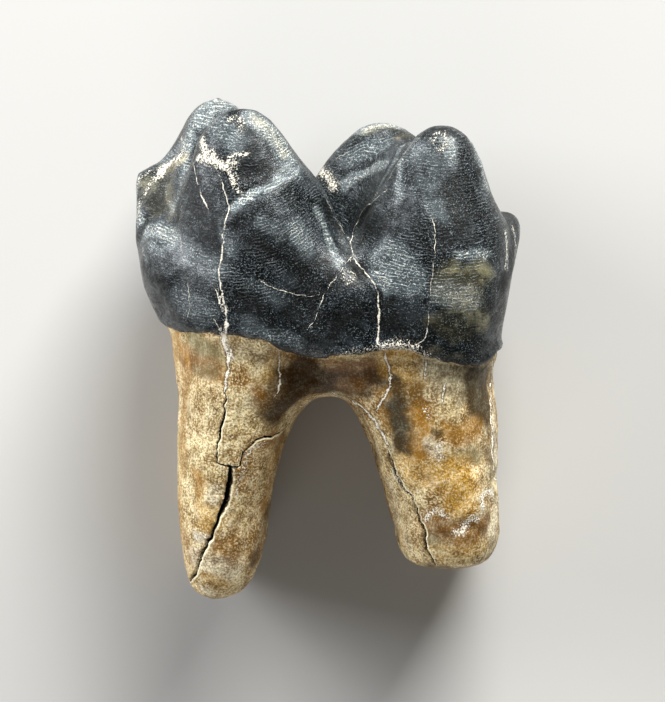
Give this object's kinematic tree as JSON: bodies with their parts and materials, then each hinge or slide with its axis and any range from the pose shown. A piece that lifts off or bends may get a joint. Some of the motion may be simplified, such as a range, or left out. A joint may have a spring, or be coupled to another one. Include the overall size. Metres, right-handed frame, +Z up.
{
  "type": "fossil tapir tooth",
  "caption": "Fossil lower molar of a tapir lying on its cheek side: a dark bulging enamel crown with two worn cross-ridges and a V valley, on a pair of broad tan roots.",
  "frame": {"origin": "centre of the bounding box in X and Y, on the plane of the four small flats it rests on", "axes": "+Y from the root tips to the cusps, +X from the front of the tooth to its back, +Z up from the cheek side it lies on to the tongue side"},
  "size_m": [0.0246, 0.032, 0.017],
  "materials": {
    "tooth": "satin blue-black enamel crown, matt tan and brown mineralised roots"
  },
  "bodies": {
    "root": {"tooth": "tooth"}
  },
  "joints": []
}
